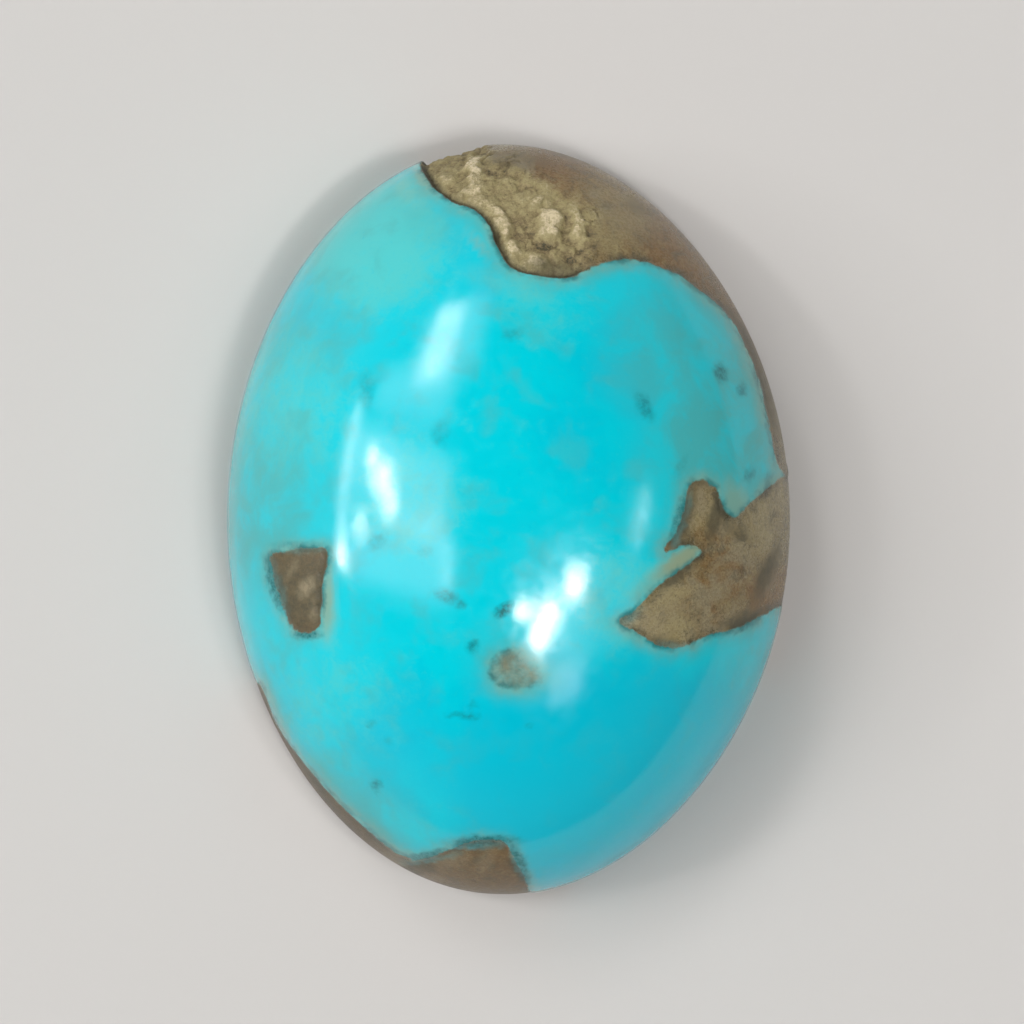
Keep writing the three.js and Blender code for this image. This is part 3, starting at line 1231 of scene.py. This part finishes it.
def add_lamp(lamp, height, power):
    """A flat lamp that faces down and fades at its edges."""
    run = Vector(lamp.end) - Vector(lamp.start)
    light = bpy.data.lights.new(lamp.name, "AREA")
    light.shape = "RECTANGLE"
    light.size = run.length * height
    light.size_y = lamp.breadth * height
    light.energy = power * lamp.glow * math.pi * light.size * light.size_y
    light.use_nodes = True
    nodes = Nodes(light.node_tree)
    across = nodes.add("ShaderNodeTexCoord").outputs["UV"]
    sides = nodes.add("ShaderNodeSeparateXYZ", {"Vector": across}).outputs
    fades = []
    for side, extent in ((sides["X"], run.length), (sides["Y"], lamp.breadth)):
        from_middle = nodes.maths("ABSOLUTE", nodes.maths("SUBTRACT", side, 0.5))
        fades.append(nodes.spread(from_middle, 0.5, 0.5 - lamp.fade / extent))
    emission = light.node_tree.nodes["Emission"]
    nodes.feed(emission.inputs["Strength"], nodes.times(*fades))
    holder = bpy.data.objects.new(lamp.name, light)
    middle = (Vector(lamp.start) + Vector(lamp.end)) / 2
    holder.location = MIDDLE + middle.to_3d() * height + Vector((0, 0, height))
    holder.rotation_euler.z = math.atan2(run.y, run.x)
    bpy.context.scene.collection.objects.link(holder)


# The way from the stone to the window.
WINDOW_SIDE = (-0.8, 0.6, 0.0)


def light_room(glow):
    """A room that is bright round the horizon, most of all beyond the window, and dark overhead."""
    world = bpy.data.worlds.new("Room")
    bpy.context.scene.world = world
    world.use_nodes = True
    nodes = Nodes(world.node_tree)
    background = world.node_tree.nodes["Background"]
    direction = nodes.add("ShaderNodeTexCoord").outputs["Generated"]
    window_side = nodes.vector_maths("DOT_PRODUCT", direction, WINDOW_SIDE)["Value"]
    towards_window = nodes.spread(window_side, -1.0, 1.0, 0.24, 0.72)
    level = nodes.spread(nodes.height(direction), 0.2, 0.85, glow, 0.0)
    nodes.feed(background.inputs["Strength"], nodes.times(level, towards_window))
    background.inputs["Color"].default_value = (1.0, 0.985, 0.96, 1.0)


# From the floor's middle to its sides, and how far it lies under the stone.
FLOOR_REACH = 3.0
FLOOR_GAP = 0.01 * MM


def add_floor(settings):
    """A broad floor just under the stone."""
    mesh = bmesh.new()
    bmesh.ops.create_grid(mesh, x_segments=1, y_segments=1, size=FLOOR_REACH)
    made = bpy.data.meshes.new("floor")
    mesh.to_mesh(made)
    mesh.free()
    floor = bpy.data.objects.new("floor", made)
    floor.location = (MIDDLE.x, MIDDLE.y, STONE_LOW.z - FLOOR_GAP)
    floor.data.materials.append(floor_material(settings.floor_colour))
    bpy.context.scene.collection.objects.link(floor)


def add_camera(settings):
    """A camera that looks down on the dome, with the stone's length upright in the view."""
    data = bpy.data.cameras.new("Camera")
    data.lens = settings.lens
    data.clip_start = 0.001
    camera = bpy.data.objects.new("Camera", data)
    right = Vector((0, 1, 0)).cross(DRAWN_FROM).normalized()
    turn = Matrix((right, DRAWN_FROM.cross(right), DRAWN_FROM)).transposed()
    place = MIDDLE + DRAWN_FROM * settings.camera_distance
    camera.matrix_world = Matrix.Translation(place) @ turn.to_4x4()
    bpy.context.scene.collection.objects.link(camera)
    bpy.context.scene.camera = camera


# ---------------------------------------------------------------- operators


class CABOCHON_OT_add_stone(Operator):
    """Add the polished stone in place of its plain solid"""

    bl_idname = "cabochon.add_stone"
    bl_label = "Add Stone"

    def execute(self, context):
        scene = context.scene
        mesh = ground_stone(scene.cabochon_cut, scene.cabochon_relief)
        mesh.materials.append(stone_material(scene.cabochon_colours))
        stone = bpy.data.objects.new("polished_turquoise", mesh)
        scene.collection.objects.link(stone)
        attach(stone, "root")
        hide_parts("turquoise_cabochon")
        return {"FINISHED"}


class CABOCHON_OT_add_stage(Operator):
    """Add the floor, the lights and the camera"""

    bl_idname = "cabochon.add_stage"
    bl_label = "Add Stage"

    def execute(self, context):
        stage = context.scene.cabochon_stage
        add_floor(stage)
        add_camera(stage)
        light_room(stage.room_glow)
        for order, lamp in enumerate(LAMPS):
            add_lamp(lamp, stage.lamp_height - order * LAMP_STEP, stage.lamp_power)
        context.scene.view_settings.view_transform = "Standard"
        return {"FINISHED"}


class CABOCHON_PT_sidebar(Panel):
    """Lists the settings and the operators"""

    bl_label = "Turquoise Cabochon"
    bl_idname = "CABOCHON_PT_sidebar"
    bl_space_type = "VIEW_3D"
    bl_region_type = "UI"
    bl_category = "Cabochon"

    def draw(self, context):
        scene = context.scene
        for group in SETTINGS:
            settings = getattr(scene, group)
            box = self.layout.box()
            for name in setting_names(settings):
                box.prop(settings, name)
        self.layout.operator(CABOCHON_OT_add_stone.bl_idname)
        self.layout.operator(CABOCHON_OT_add_stage.bl_idname)


SETTINGS = {
    "cabochon_cut": CabochonCut,
    "cabochon_relief": CabochonRelief,
    "cabochon_colours": CabochonColours,
    "cabochon_stage": CabochonStage,
}
TOOLS = (CABOCHON_OT_add_stone, CABOCHON_OT_add_stage, CABOCHON_PT_sidebar)


def register():
    for name, group in SETTINGS.items():
        bpy.utils.register_class(group)
        setattr(bpy.types.Scene, name, PointerProperty(type=group))
    for tool in TOOLS:
        bpy.utils.register_class(tool)


def unregister():
    for tool in reversed(TOOLS):
        bpy.utils.unregister_class(tool)
    for name, group in SETTINGS.items():
        delattr(bpy.types.Scene, name)
        bpy.utils.unregister_class(group)


def main():
    register()
    bpy.ops.cabochon.add_stone()
    bpy.ops.cabochon.add_stage()


if __name__ == "__main__":
    main()
